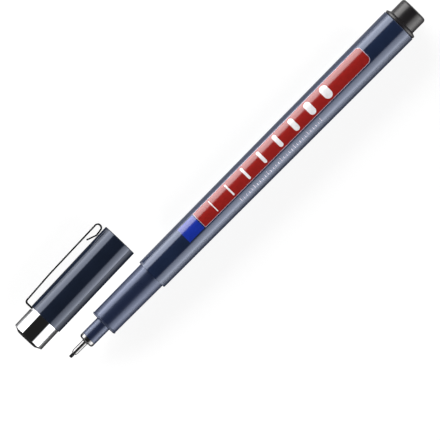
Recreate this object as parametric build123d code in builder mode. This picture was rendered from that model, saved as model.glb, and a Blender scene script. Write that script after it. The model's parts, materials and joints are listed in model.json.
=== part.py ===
from build123d import *
import math
import os

# A fineliner pen lying on a table, with its cap taken off and laid beside it. Lengths are in mm.
# Stations along the pen are counted from its writing point towards the rear, and stations along
# the cap from its closed end towards its mouth. +X runs from the nib to the rear, +Y to the cap.

os.makedirs("parts", exist_ok=True)

# Fits and small sizes that several pieces share
press_clearance = 0.03
running_clearance = 0.08
cap_clearance = 0.05
cut_overrun = 1.0
seam_chamfer = 0.12
edge_round = 0.15

# Fibre tip: the writing point and the feed rod behind it
tip_diameter = 0.9
tip_reach = 1.35
feed_diameter = 1.6
feed_taper_length = 0.8
feed_depth = 14.0

# Nib ferrule: a steel needle on a shoulder, with a shank pressed into the holder
needle_diameter = 1.7
needle_length = 4.45
needle_nose_diameter = 1.2
needle_nose_length = 0.65
needle_root_round = 0.3
shoulder_diameter = 4.55
shoulder_length = 1.3
shoulder_round = 0.7
shank_diameter = 3.4
shank_length = 4.0

# Nib holder: a nose in front of the section and a body inside it
holder_nose_length = 5.55
holder_body_diameter = 6.0
holder_body_length = 14.0
holder_funnel = 0.8

# Section: the gripped sleeve between nib holder and barrel
section_length = 18.3
grip_front_wall = 0.92
grip_rear_wall = 1.07
spigot_wall = 0.79
section_front_wall = 1.6
lip_height = 0.15
lip_length = 0.4
lip_flank_length = 0.35
section_spigot_length = 9.0
spigot_chamfer_share = 0.5

# Barrel: a tube that widens towards the rear
barrel_length = 93.65
barrel_wall = 0.85
barrel_widening = 1.0
rib_count = 6
rib_width = 0.7
rib_height = 0.17

# Reservoir film: the thin sleeve round the fibre core that fills the space between the ribs
film_thickness = 0.12

# Rear plug: a flange that closes the barrel and a stud that the cap posts on
flange_step = 0.1
flange_length = 0.7
flange_bevel_length = 0.45
stud_length = 4.85
stud_round = 0.8
plug_spigot_length = 7.0
plug_wall = 1.0
plug_end_wall = 1.3

# Cap tube
cap_mouth_wall = 1.025
cap_root_wall = 0.925
mouth_chamfer = 0.25
stem_hole_depth = 2.2
stem_wall = 0.9

# Cap liner: the soft cup that seals round the nib
liner_step_height = 0.5
liner_wall = 0.5
liner_floor = 0.8
liner_nose_diameter = 4.8
liner_nose_wall = 0.7
liner_nose_length = 5.0
liner_lead_in = 0.3
liner_setback = 0.2
tip_clearance = 0.3

# Cap ferrule: a bright ring over the cap tube's spigot
ferrule_step = 0.275
ferrule_length = 6.75
ferrule_wall = 0.52
ferrule_end_wall = 0.6
ferrule_round = 0.3

# Cap end plug: a bevelled end whose stem holds the ferrule on
end_length = 0.75
end_bevel_depth = 1.45
end_round = 0.12
neck_diameter = 5.0
stem_diameter = 3.6

# Clip: one spring strip, bent at the root and curled back at the free end
clip_width = 3.4
clip_thickness = 0.46
clip_edge_round = 0.04
clip_foot_length = 2.4
clip_foot_bend = 0.3
clip_gap_at_root = 1.975
clip_root_bend = 0.75
clip_rise_length = 9.5
clip_rise_bend = 25.0
clip_gap_at_rise = 2.37
clip_gap_at_curl = 2.35
clip_curl_radius = 0.88
clip_curl_setback = 0.55
clip_touch_setback = 3.35
clip_touch_bend = 1.2
clip_touch_clearance = 0.04
clip_end_setback = 6.1
clip_end_gap = 1.325
clip_swing_degrees = 6.0

# Where the cap lies beside the pen
cap_lead = 4.87
cap_gap_at_mouth = 2.145
cap_toe_in = 0.89

# Stations along the pen
needle_start = tip_reach
shoulder_start = needle_start + needle_length
nose_start = shoulder_start + shoulder_length
shank_end = nose_start + shank_length
section_start = nose_start + holder_nose_length
holder_body_start = section_start + section_front_wall
holder_end = holder_body_start + holder_body_length
barrel_start = section_start + section_length
section_end = barrel_start + section_spigot_length
feed_end = section_end + feed_depth
barrel_end = barrel_start + barrel_length
plug_start = barrel_end - plug_spigot_length
stud_start = barrel_end + flange_length + flange_bevel_length
pen_length = stud_start + stud_length

# Radii inside the pen
tip_bore_radius = tip_diameter / 2 + press_clearance
feed_bore_radius = feed_diameter / 2 + press_clearance
shank_bore_radius = shank_diameter / 2 + press_clearance
holder_radius = shoulder_diameter / 2
holder_bore_radius = holder_body_diameter / 2 + press_clearance
section_front_radius = holder_bore_radius + grip_front_wall
section_rear_radius = holder_bore_radius + grip_rear_wall
lip_radius = section_front_radius + lip_height
spigot_radius = holder_bore_radius + spigot_wall
spigot_chamfer = spigot_chamfer_share * spigot_wall
bore_front_radius = spigot_radius + press_clearance
bore_rear_radius = bore_front_radius + barrel_widening / 2
barrel_front_radius = bore_front_radius + barrel_wall
barrel_rear_radius = bore_rear_radius + barrel_wall
barrel_slope = (barrel_rear_radius - barrel_front_radius) / barrel_length
bore_radius_at_plug = bore_rear_radius - barrel_slope * plug_spigot_length
barrel_radius_at_section_end = barrel_front_radius + barrel_slope * section_spigot_length
rib_inner_radius = bore_front_radius - rib_height
film_outer_radius = rib_inner_radius - press_clearance
film_inner_radius = film_outer_radius - film_thickness
reservoir_radius = film_inner_radius - press_clearance
rib_root_radius = (bore_radius_at_plug + barrel_radius_at_section_end) / 2
plug_spigot_radius = bore_radius_at_plug - press_clearance
flange_radius = barrel_rear_radius - flange_step
stud_radius = section_rear_radius

# Stations along the cap: its cavity is as deep as the pen's front is long
cap_spigot_start = end_length + ferrule_end_wall
stem_hole_floor = cap_spigot_start + stem_hole_depth
pocket_floor = stem_hole_floor + stem_wall
pocket_start = pocket_floor + liner_nose_length
liner_step = pocket_start + liner_floor
cap_tube_start = end_length + ferrule_length
cap_length = pocket_floor + liner_floor + tip_clearance + barrel_start
cap_tube_length = cap_length - cap_tube_start
liner_seat_end = cap_length - section_length
liner_rim = liner_seat_end - liner_setback

# Radii inside the cap
cap_bore_radius = section_rear_radius + cap_clearance
cap_mouth_radius = cap_bore_radius + cap_mouth_wall
cap_root_radius = cap_bore_radius + cap_root_wall
ferrule_radius = cap_root_radius - ferrule_step
end_radius = ferrule_radius - ferrule_round
end_face_radius = end_radius - end_bevel_depth
ferrule_bore_radius = ferrule_radius - ferrule_wall
cap_spigot_radius = ferrule_bore_radius - press_clearance
liner_seat_radius = cap_bore_radius - liner_step_height
liner_radius = liner_seat_radius - press_clearance
liner_bore_radius = liner_radius - liner_wall
pocket_radius = liner_nose_diameter / 2 + press_clearance
stem_hole_radius = stem_diameter / 2 + press_clearance

# The clip's root: its leg stands in a notch of the ferrule, its foot in a groove of the cap tube
clip_swing = math.radians(clip_swing_degrees)
clip_leg_station = cap_tube_start - running_clearance - clip_thickness / 2
foot_seat_radius = math.sqrt(cap_spigot_radius**2 - (clip_width / 2) ** 2)
clip_foot_radius = foot_seat_radius - running_clearance - clip_thickness / 2
clip_foot_sink = clip_foot_length * math.sin(clip_swing) + running_clearance
groove_floor_radius = clip_foot_radius - clip_thickness / 2 - clip_foot_sink
groove_start = clip_leg_station - clip_foot_length - clip_thickness
slot_width = clip_width + 2 * running_clearance
leg_lean = (ferrule_radius - clip_foot_radius) * math.sin(clip_swing)
notch_depth = clip_thickness + 2 * running_clearance + leg_lean

# The barrel's underside and the cap's underside lie flat on the table
pen_pitch = math.atan(barrel_slope)
cap_slope = (cap_mouth_radius - cap_root_radius) / cap_tube_length
cap_pitch = math.atan(cap_slope)
cap_yaw = math.asin(cap_toe_in / cap_length)
cap_offset_at_mouth = barrel_rear_radius + cap_gap_at_mouth + cap_mouth_radius
cap_offset_at_end = cap_offset_at_mouth - cap_toe_in
clip_reach = cap_mouth_radius + clip_gap_at_curl
overall_length = cap_lead + pen_length
overall_width = barrel_rear_radius + cap_offset_at_mouth + clip_reach + clip_thickness / 2
pen_y = barrel_rear_radius - overall_width / 2

# Pen frame: x along the pen, y up
pen_direction = Vector(math.cos(pen_pitch), 0, math.sin(pen_pitch))
writing_point = Vector(
    cap_lead - overall_length / 2,
    pen_y,
    barrel_front_radius * math.cos(pen_pitch) - barrel_start * math.sin(pen_pitch),
)
pen_axis = Axis(writing_point, pen_direction)
pen_plane = Plane(origin=writing_point, x_dir=pen_direction, z_dir=(0, -1, 0))

# Cap frame: x along the cap, y level and away from the pen
cap_outward = Vector(-math.sin(cap_yaw), math.cos(cap_yaw), 0)
cap_direction = Vector(
    math.cos(cap_yaw) * math.cos(cap_pitch),
    math.sin(cap_yaw) * math.cos(cap_pitch),
    math.sin(cap_pitch),
)
cap_up = cap_direction.cross(cap_outward)
cap_end_point = Vector(
    -overall_length / 2,
    pen_y + cap_offset_at_end,
    cap_mouth_radius * math.cos(cap_pitch) - cap_length * math.sin(cap_pitch),
)
cap_axis = Axis(cap_end_point, cap_direction)
cap_plane = Plane(origin=cap_end_point, x_dir=cap_direction, z_dir=cap_up)


def ring(piece, axis, station, radius):
    """Return the round edge of a turned piece that is nearest to a station and a radius."""
    centre = axis.position + axis.direction * station
    rings = piece.edges().filter_by(GeomType.CIRCLE)
    return min(rings, key=lambda e: abs(e.radius - radius) + (e.arc_center - centre).length)


# Fibre tip: a domed point in the needle, stepping up to the feed rod that reaches into the ink
with BuildPart() as fibre_tip:
    with BuildSketch(pen_plane):
        with BuildLine():
            dome = JernArc((0, 0), (0, 1), tip_diameter / 2, -90)
            Polyline(
                dome @ 1,
                (shoulder_start, tip_diameter / 2),
                (shoulder_start + feed_taper_length, feed_diameter / 2),
                (feed_end, feed_diameter / 2),
                (feed_end, 0),
                (0, 0),
            )
        make_face()
    revolve(axis=pen_axis)
fibre_tip.part.label = "fibre_tip"
export_step(fibre_tip.part, "parts/fibre_tip.step")

# Nib ferrule: turned steel, with a coned needle end and a round-cornered shoulder
with BuildPart() as nib_ferrule:
    with BuildSketch(pen_plane):
        with BuildLine():
            Polyline(
                (needle_start, tip_bore_radius),
                (needle_start, needle_nose_diameter / 2),
                (needle_start + needle_nose_length, needle_diameter / 2),
                (shoulder_start, needle_diameter / 2),
                (shoulder_start, shoulder_diameter / 2),
                (nose_start, shoulder_diameter / 2),
                (nose_start, shank_diameter / 2),
                (shank_end, shank_diameter / 2),
                (shank_end, feed_bore_radius),
                (shoulder_start + feed_taper_length, feed_bore_radius),
                (shoulder_start, tip_bore_radius),
                close=True,
            )
        make_face()
    revolve(axis=pen_axis)
    fillet(ring(nib_ferrule, pen_axis, shoulder_start, shoulder_diameter / 2), shoulder_round)
    fillet(ring(nib_ferrule, pen_axis, shoulder_start, needle_diameter / 2), needle_root_round)
nib_ferrule.part.label = "nib_ferrule"
export_step(nib_ferrule.part, "parts/nib_ferrule.step")

# Nib holder: a slim nose that grips the ferrule, on a wider body with a funnelled feed bore
with BuildPart() as nib_holder:
    with BuildSketch(pen_plane):
        with BuildLine():
            Polyline(
                (nose_start, shank_bore_radius),
                (nose_start, holder_radius),
                (holder_body_start, holder_radius),
                (holder_body_start, holder_body_diameter / 2),
                (holder_end, holder_body_diameter / 2),
                (holder_end, feed_bore_radius + holder_funnel),
                (holder_end - holder_funnel, feed_bore_radius),
                (shank_end + press_clearance, feed_bore_radius),
                (shank_end + press_clearance, shank_bore_radius),
                close=True,
            )
        make_face()
    revolve(axis=pen_axis)
nib_holder.part.label = "nib_holder"
export_step(nib_holder.part, "parts/nib_holder.step")

# Section: a slightly tapered sleeve with a snap lip at its front, and a spigot in the barrel
with BuildPart() as section_sleeve:
    with BuildSketch(pen_plane):
        with BuildLine():
            Polyline(
                (section_start, holder_radius + press_clearance),
                (section_start, lip_radius),
                (section_start + lip_length, lip_radius),
                (section_start + lip_length + lip_flank_length, section_front_radius),
                (barrel_start, section_rear_radius),
                (barrel_start, spigot_radius),
                (section_end, spigot_radius),
                (section_end, holder_bore_radius),
                (holder_body_start, holder_bore_radius),
                (holder_body_start, holder_radius + press_clearance),
                close=True,
            )
        make_face()
    revolve(axis=pen_axis)
    fillet(ring(section_sleeve, pen_axis, section_start, lip_radius), edge_round)
    chamfer(ring(section_sleeve, pen_axis, section_end, spigot_radius), spigot_chamfer)
section_sleeve.part.label = "section"
export_step(section_sleeve.part, "parts/section.step")

# Barrel: a thin tapered tube, with ribs inside that hold the reservoir off its wall
with BuildPart() as barrel:
    with BuildSketch(pen_plane):
        with BuildLine():
            Polyline(
                (barrel_start, bore_front_radius),
                (barrel_start, barrel_front_radius),
                (barrel_end, barrel_rear_radius),
                (barrel_end, bore_rear_radius),
                close=True,
            )
        make_face()
    revolve(axis=pen_axis)
    chamfer(ring(barrel, pen_axis, barrel_end, barrel_rear_radius), seam_chamfer)
    rib_plane = Plane(
        origin=writing_point + pen_direction * section_end,
        x_dir=pen_plane.y_dir,
        z_dir=pen_direction,
    )
    with BuildSketch(rib_plane):
        with PolarLocations((rib_inner_radius + rib_root_radius) / 2, rib_count):
            Rectangle(rib_root_radius - rib_inner_radius, rib_width)
    extrude(amount=plug_start - section_end)
barrel.part.label = "barrel"
export_step(barrel.part, "parts/barrel.step")

# Ink reservoir: a fibre core with a blind hole where the feed rod stands in it
with BuildPart() as ink_reservoir:
    with BuildSketch(pen_plane):
        with BuildLine():
            Polyline(
                (section_end, feed_bore_radius),
                (section_end, reservoir_radius),
                (plug_start, reservoir_radius),
                (plug_start, 0),
                (feed_end, 0),
                (feed_end, feed_bore_radius),
                close=True,
            )
        make_face()
    revolve(axis=pen_axis)
ink_reservoir.part.label = "ink_reservoir"
export_step(ink_reservoir.part, "parts/ink_reservoir.step")

# Reservoir film: the thin sleeve round the fibre core
with BuildPart() as reservoir_film:
    with BuildSketch(pen_plane):
        with BuildLine():
            Polyline(
                (section_end, film_inner_radius),
                (section_end, film_outer_radius),
                (plug_start, film_outer_radius),
                (plug_start, film_inner_radius),
                close=True,
            )
        make_face()
    revolve(axis=pen_axis)
reservoir_film.part.label = "reservoir_film"
export_step(reservoir_film.part, "parts/reservoir_film.step")

# Rear plug: a hollow stud with a bevelled flange against the barrel and a spigot inside it
with BuildPart() as rear_plug:
    with BuildSketch(pen_plane):
        with BuildLine():
            Polyline(
                (plug_start, plug_spigot_radius - plug_wall),
                (plug_start, plug_spigot_radius),
                (barrel_end, plug_spigot_radius),
                (barrel_end, flange_radius),
                (barrel_end + flange_length, flange_radius),
                (stud_start, stud_radius),
                (pen_length, stud_radius),
                (pen_length, 0),
                (pen_length - plug_end_wall, 0),
                (pen_length - plug_end_wall, plug_spigot_radius - plug_wall),
                close=True,
            )
        make_face()
    revolve(axis=pen_axis)
    fillet(ring(rear_plug, pen_axis, pen_length, stud_radius), stud_round)
    chamfer(ring(rear_plug, pen_axis, barrel_end, flange_radius), seam_chamfer)
rear_plug.part.label = "rear_plug"
export_step(rear_plug.part, "parts/rear_plug.step")

# Cap tube: a slim bell with a stepped seat for the liner and a grooved spigot for the ferrule
with BuildPart() as cap_tube:
    with BuildSketch(cap_plane):
        with BuildLine():
            Polyline(
                (cap_spigot_start, stem_hole_radius),
                (cap_spigot_start, cap_spigot_radius),
                (cap_tube_start, cap_spigot_radius),
                (cap_tube_start, cap_root_radius),
                (cap_length, cap_mouth_radius),
                (cap_length, cap_bore_radius),
                (liner_seat_end, cap_bore_radius),
                (liner_seat_end, liner_seat_radius),
                (pocket_start, liner_seat_radius),
                (pocket_start, pocket_radius),
                (pocket_floor, pocket_radius),
                (pocket_floor, 0),
                (stem_hole_floor, 0),
                (stem_hole_floor, stem_hole_radius),
                close=True,
            )
        make_face()
    revolve(axis=cap_axis)
    fillet(ring(cap_tube, cap_axis, cap_tube_start, cap_root_radius), edge_round)
    fillet(ring(cap_tube, cap_axis, cap_length, cap_mouth_radius), edge_round)
    chamfer(ring(cap_tube, cap_axis, cap_length, cap_bore_radius), mouth_chamfer)
    with BuildSketch(cap_plane):
        with Locations((groove_start, groove_floor_radius)):
            Rectangle(
                cap_tube_start - groove_start,
                cap_spigot_radius - groove_floor_radius + cut_overrun,
                align=(Align.MIN, Align.MIN),
            )
    extrude(amount=slot_width / 2, both=True, mode=Mode.SUBTRACT)
cap_tube.part.label = "cap_tube"
export_step(cap_tube.part, "parts/cap_tube.step")

# Cap liner: a stepped cup, wide round the nib holder and narrow round the needle
with BuildPart() as cap_liner:
    with BuildSketch(cap_plane):
        with BuildLine():
            Polyline(
                (liner_rim, liner_bore_radius + liner_lead_in),
                (liner_rim, liner_radius),
                (pocket_start, liner_radius),
                (pocket_start, liner_nose_diameter / 2),
                (pocket_floor, liner_nose_diameter / 2),
                (pocket_floor, 0),
                (pocket_floor + liner_floor, 0),
                (pocket_floor + liner_floor, liner_nose_diameter / 2 - liner_nose_wall),
                (liner_step, liner_nose_diameter / 2 - liner_nose_wall),
                (liner_step, liner_bore_radius),
                (liner_rim - liner_lead_in, liner_bore_radius),
                close=True,
            )
        make_face()
    revolve(axis=cap_axis)
cap_liner.part.label = "cap_liner"
export_step(cap_liner.part, "parts/cap_liner.step")

# Cap ferrule: a round-cornered ring with an end wall, notched at its rim for the clip's leg
with BuildPart() as cap_ferrule:
    with BuildSketch(cap_plane):
        with BuildLine():
            Polyline(
                (end_length, neck_diameter / 2 + press_clearance),
                (end_length, ferrule_radius),
                (cap_tube_start, ferrule_radius),
                (cap_tube_start, ferrule_bore_radius),
                (cap_spigot_start, ferrule_bore_radius),
                (cap_spigot_start, neck_diameter / 2 + press_clearance),
                close=True,
            )
        make_face()
    revolve(axis=cap_axis)
    fillet(ring(cap_ferrule, cap_axis, end_length, ferrule_radius), ferrule_round)
    with BuildSketch(cap_plane):
        with Locations((cap_tube_start - notch_depth, 0)):
            Rectangle(
                notch_depth + cut_overrun,
                ferrule_radius + cut_overrun,
                align=(Align.MIN, Align.MIN),
            )
    extrude(amount=slot_width / 2, both=True, mode=Mode.SUBTRACT)
cap_ferrule.part.label = "cap_ferrule"
export_step(cap_ferrule.part, "parts/cap_ferrule.step")

# Cap end plug: a bevelled end with a neck through the ferrule's end wall and a stem in the cap tube
with BuildPart() as cap_end_plug:
    with BuildSketch(cap_plane):
        with BuildLine():
            Polyline(
                (0, 0),
                (0, end_face_radius),
                (end_length, end_radius),
                (end_length, neck_diameter / 2),
                (cap_spigot_start, neck_diameter / 2),
                (cap_spigot_start, stem_diameter / 2),
                (stem_hole_floor - press_clearance, stem_diameter / 2),
                (stem_hole_floor - press_clearance, 0),
                close=True,
            )
        make_face()
    revolve(axis=cap_axis)
    fillet(ring(cap_end_plug, cap_axis, 0, end_face_radius), end_round)
cap_end_plug.part.label = "cap_end_plug"
export_step(cap_end_plug.part, "parts/cap_end_plug.step")

# Clip: a rounded strip swept along its bent centre line, from the foot to the curled free end
curl_station = cap_length - clip_curl_setback - clip_thickness / 2
touch_station = cap_length - clip_touch_setback
touch_tube_radius = cap_mouth_radius - cap_slope * clip_touch_setback
touch_radius = touch_tube_radius + clip_touch_clearance + clip_thickness / 2
with BuildPart() as clip:
    with BuildLine(cap_plane) as clip_line:
        FilletPolyline(
            (clip_leg_station - clip_foot_length, clip_foot_radius),
            (clip_leg_station, clip_foot_radius),
            (clip_leg_station, cap_root_radius + clip_gap_at_root),
            (clip_leg_station + clip_rise_length, cap_root_radius + clip_gap_at_rise),
            (curl_station, clip_reach),
            (curl_station, clip_reach - 2 * clip_curl_radius),
            (touch_station, touch_radius),
            (cap_length - clip_end_setback, cap_mouth_radius + clip_end_gap),
            radius=[
                clip_foot_bend,
                clip_root_bend,
                clip_rise_bend,
                clip_curl_radius,
                clip_curl_radius,
                clip_touch_bend,
            ],
        )
    foot_plane = Plane(origin=clip_line.line @ 0, x_dir=cap_up, z_dir=clip_line.line % 0)
    with BuildSketch(foot_plane):
        RectangleRounded(clip_width, clip_thickness, clip_edge_round)
    sweep()
clip.part.label = "clip"
export_step(clip.part, "parts/clip.step")
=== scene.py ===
"""Looks of a fineliner pen that lies beside its pulled-off cap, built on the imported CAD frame.

Lengths are in metres in the CAD's frame: +X from the nib to the rear plug, +Y towards the cap, +Z up.
Each turned piece is made about its own local Z axis, with local X level towards the cap's far side
and local Y up, and is then set on the pen's or the cap's long axis. A station is a distance along
that axis: from the writing point on the pen, and from the closed end on the cap.
"""

import json
import logging
import math
from collections.abc import Callable, Sequence
from dataclasses import dataclass, field
from enum import Enum
from functools import cache
from itertools import pairwise

import bmesh
import bpy
from mathutils import Matrix, Vector


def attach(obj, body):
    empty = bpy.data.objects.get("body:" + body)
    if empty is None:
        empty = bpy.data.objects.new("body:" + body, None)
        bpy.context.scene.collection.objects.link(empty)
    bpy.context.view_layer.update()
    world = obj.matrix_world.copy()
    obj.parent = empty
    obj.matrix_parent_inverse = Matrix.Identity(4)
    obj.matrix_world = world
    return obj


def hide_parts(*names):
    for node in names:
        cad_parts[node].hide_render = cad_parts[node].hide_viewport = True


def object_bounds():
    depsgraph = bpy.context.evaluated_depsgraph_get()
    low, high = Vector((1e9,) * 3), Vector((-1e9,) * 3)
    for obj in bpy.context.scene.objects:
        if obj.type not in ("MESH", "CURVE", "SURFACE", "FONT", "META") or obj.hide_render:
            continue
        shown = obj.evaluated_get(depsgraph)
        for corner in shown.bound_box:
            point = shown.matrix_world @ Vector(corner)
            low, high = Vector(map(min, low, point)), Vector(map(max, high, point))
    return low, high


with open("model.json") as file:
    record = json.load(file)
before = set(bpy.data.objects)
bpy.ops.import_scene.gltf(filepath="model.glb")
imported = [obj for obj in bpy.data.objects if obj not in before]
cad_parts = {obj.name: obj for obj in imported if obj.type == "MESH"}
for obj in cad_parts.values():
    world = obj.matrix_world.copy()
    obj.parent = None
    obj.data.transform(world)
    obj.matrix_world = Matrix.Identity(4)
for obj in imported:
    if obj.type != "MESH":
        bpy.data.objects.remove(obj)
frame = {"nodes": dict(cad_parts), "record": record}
CAD_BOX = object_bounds()

LOG = logging.getLogger("fineliner")
MM = 0.001
CLOSE = 0.002 * MM
PRESS_GAP = 0.03 * MM
SEGMENTS = 128
SMOOTH_ANGLE = math.radians(32)
CHAMFER_STEPS = 1
WIDE_STEPS = 8
NOISE_SPAN = (0.3, 0.7)
HAIRLINE_SPAN = (0.66, 0.78)
SLOW_SHARE = 0.6
GRAIN_HEIGHT = 0.08
PLASTIC_INDEX = 1.5
WHITE = (1.0, 1.0, 1.0, 1.0)
BLACK = (0.0, 0.0, 0.0, 1.0)

Colour = tuple[float, float, float]
Point = tuple[float, float]
Piece = bpy.types.Object
Socket = bpy.types.NodeSocket


def srgb(red: int, green: int, blue: int) -> Colour:
    """Turn a colour as seen on a screen, 0 to 255, into the linear values that shaders take."""
    shares = (value / 255 for value in (red, green, blue))
    return tuple(s / 12.92 if s <= 0.04045 else ((s + 0.055) / 1.055) ** 2.4 for s in shares)


def shaded(colour: Colour, factor: float) -> Colour:
    """Return a colour made darker or lighter by a factor."""
    return tuple(value * factor for value in colour)


@dataclass(frozen=True)
class PenFits:
    """Where the pen's pieces meet: stations and radii that more than one piece uses."""

    needle_root: float = 5.8 * MM
    feed_start: float = 6.6 * MM
    nose_start: float = 7.1 * MM
    nose_radius: float = 2.275 * MM
    section_start: float = 12.65 * MM
    holder_step: float = 14.25 * MM
    holder_radius: float = 3.0 * MM
    barrel_start: float = 30.95 * MM
    spigot_end: float = 39.95 * MM
    plug_start: float = 117.6 * MM
    barrel_end: float = 124.6 * MM


@dataclass(frozen=True)
class CapFits:
    """Where the cap's pieces meet: stations, radii and slots that more than one piece uses."""

    rim: float = 0.75 * MM
    spigot_start: float = 1.35 * MM
    spigot_radius: float = 4.25 * MM
    stem_end: float = 3.52 * MM
    stem_radius: float = 1.8 * MM
    neck_radius: float = 2.5 * MM
    tube_start: float = 7.5 * MM
    bore_middle: float = 27.225 * MM
    length: float = 36.5 * MM
    slot_half_width: float = 1.78 * MM
    slot_overshoot: float = 1.0 * MM


PEN = PenFits()
CAP = CapFits()


@dataclass(frozen=True)
class LongAxis:
    """A straight axis that turned pieces are set on.

    Attributes:
        start: Where station zero lies.
        direction: The way stations are counted.
    """

    start: Vector
    direction: Vector

    @classmethod
    def from_mount(cls, mount_name: str, station: float, sense: int) -> "LongAxis":
        """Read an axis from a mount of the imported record.

        Args:
            mount_name: The mount that lies on the axis.
            station: The station of the mount on this axis.
            sense: 1 if stations grow along the mount's axis, -1 if they grow against it.

        Returns:
            The axis, with its start at station zero.
        """
        mount = next(m for m in frame["record"]["mounts"] if m["name"] == mount_name)
        direction = sense * Vector(mount["axis"]).normalized()
        return cls(Vector(mount["pos_m"]) - direction * station, direction)

    def at(self, station: float) -> Vector:
        """Return the point at a station."""
        return self.start + self.direction * station

    def placing(self) -> Matrix:
        """Return the matrix from a piece's local frame to the CAD frame."""
        side = Vector((0, 0, 1)).cross(self.direction).normalized()
        up = self.direction.cross(side)
        turned = Matrix((side, up, self.direction)).transposed().to_4x4()
        return Matrix.Translation(self.start) @ turned


@dataclass(frozen=True)
class Ring:
    """One corner of a turned profile.

    Attributes:
        station: Place along the axis.
        radius: Distance from the axis.
        rounding: Size of the rounded edge there, zero for a plain edge.
        steps: How many faces the rounded edge has.
    """

    station: float
    radius: float
    rounding: float = 0.0
    steps: int = 4


class Ends(Enum):
    """How a turned profile closes, by the fill of its first ring.

    A sleeve's last ring meets its first, and a plug is closed on the axis at both ends.
    """

    SLEEVE = "NOTHING"
    PLUG = "TRIFAN"


def start_piece(name: str, add: Callable[..., object], **settings: object) -> Piece:
    """Add a primitive and open it in edit mode, with all of it selected and nothing else.

    Args:
        name: The new piece's name.
        add: The operator that adds the primitive.
        settings: The operator's settings.

    Returns:
        The new piece, in edit mode.
    """
    bpy.ops.object.select_all(action="DESELECT")
    add(**settings)
    piece = bpy.context.object
    piece.name = name
    piece.data.name = name
    bpy.ops.object.mode_set(mode="EDIT")
    bpy.ops.mesh.select_mode(type="EDGE")
    bpy.ops.mesh.select_all(action="SELECT")
    return piece


def select_rings(piece: Piece, *chosen: Ring) -> None:
    """Select the round edges of a piece in edit mode that lie on the chosen rings.

    Args:
        piece: The piece being edited, about its local Z axis.
        chosen: The rings whose edges are selected.
    """
    bpy.ops.mesh.select_all(action="DESELECT")
    mesh = bmesh.from_edit_mesh(piece.data)

    def lies_on(vertex: bmesh.types.BMVert, ring: Ring) -> bool:
        """Tell whether a vertex lies on a ring."""
        off_axis = math.hypot(vertex.co.x, vertex.co.y)
        return abs(vertex.co.z - ring.station) < CLOSE and abs(off_axis - ring.radius) < CLOSE

    for edge in mesh.edges:
        if any(all(lies_on(v, ring) for v in edge.verts) for ring in chosen):
            edge.select_set(True)
    bmesh.update_edit_mesh(piece.data)


def turn(name: str, profile: list[Ring], ends: Ends) -> Piece:
    """Turn a profile about the local Z axis, ring by ring, and round its edges.

    Args:
        name: The piece's name.
        profile: The rings in order round the profile.
        ends: How the profile closes.

    Returns:
        The piece, in object mode, still in its local frame.
    """
    first, last = profile[0], profile[-1]
    circle = {"vertices": SEGMENTS, "radius": first.radius, "fill_type": ends.value}
    piece = start_piece(name, bpy.ops.mesh.primitive_circle_add, **circle)
    bpy.ops.transform.translate(value=(0, 0, first.station))
    select_rings(piece, first)
    for before, after in pairwise(profile):
        step = after.station - before.station
        scale = after.radius / before.radius
        bpy.ops.mesh.extrude_region_move(TRANSFORM_OT_translate={"value": (0, 0, step)})
        bpy.ops.transform.resize(value=(scale, scale, 1), center_override=(0, 0, after.station))
    if ends is Ends.PLUG:
        bpy.ops.mesh.extrude_region_move()
        bpy.ops.mesh.merge(type="CENTER")
    else:
        select_rings(piece, first, last)
        bpy.ops.mesh.bridge_edge_loops()
    for ring in profile:
        if ring.rounding:
            select_rings(piece, ring)
            bpy.ops.mesh.bevel(offset=ring.rounding, segments=ring.steps, affect="EDGES")
    bpy.ops.mesh.select_all(action="SELECT")
    bpy.ops.mesh.normals_make_consistent(inside=False)
    bpy.ops.object.mode_set(mode="OBJECT")
    return piece


def pick(*pieces: Piece) -> None:
    """Select these pieces alone and make the first of them active."""
    bpy.ops.object.select_all(action="DESELECT")
    for piece in pieces:
        piece.select_set(True)
    bpy.context.view_layer.objects.active = pieces[0]


def apply_modifiers(piece: Piece) -> None:
    """Apply every modifier of a piece in order."""
    pick(piece)
    for modifier in list(piece.modifiers):
        bpy.ops.object.modifier_apply(modifier=modifier.name)


def cut_slot(piece: Piece, low: Vector, high: Vector) -> None:
    """Cut a square slot in a piece.

    Args:
        piece: The piece, in its local frame.
        low: The slot's lowest corner.
        high: The slot's highest corner.
    """
    bpy.ops.object.select_all(action="DESELECT")
    bpy.ops.mesh.primitive_cube_add(size=1, location=(low + high) / 2, scale=high - low)
    cutter = bpy.context.object
    slot = piece.modifiers.new("slot", "BOOLEAN")
    slot.operation = "DIFFERENCE"
    slot.solver = "EXACT"
    slot.object = cutter
    apply_modifiers(piece)
    bpy.data.objects.remove(cutter)


def set_in_place(piece: Piece, axis: LongAxis) -> None:
    """Set a piece on its long axis, with its place in its mesh, and smooth its shading.

    Args:
        piece: The piece, in its local frame.
        axis: The axis that it is set on.
    """
    pick(piece)
    piece.matrix_world = axis.placing()
    bpy.ops.object.transform_apply(location=True, rotation=True, scale=True)
    bpy.ops.object.shade_smooth_by_angle(angle=SMOOTH_ANGLE)
    even = piece.modifiers.new("even_normals", "WEIGHTED_NORMAL")
    even.keep_sharp = True
    apply_modifiers(piece)


def join(pieces: list[Piece], name: str) -> Piece:
    """Join several pieces into one.

    Args:
        pieces: The pieces, which become one mesh.
        name: The joined piece's name.

    Returns:
        The joined piece.
    """
    pick(*pieces)
    bpy.ops.object.join()
    pieces[0].name = name
    pieces[0].data.name = name
    return pieces[0]


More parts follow.
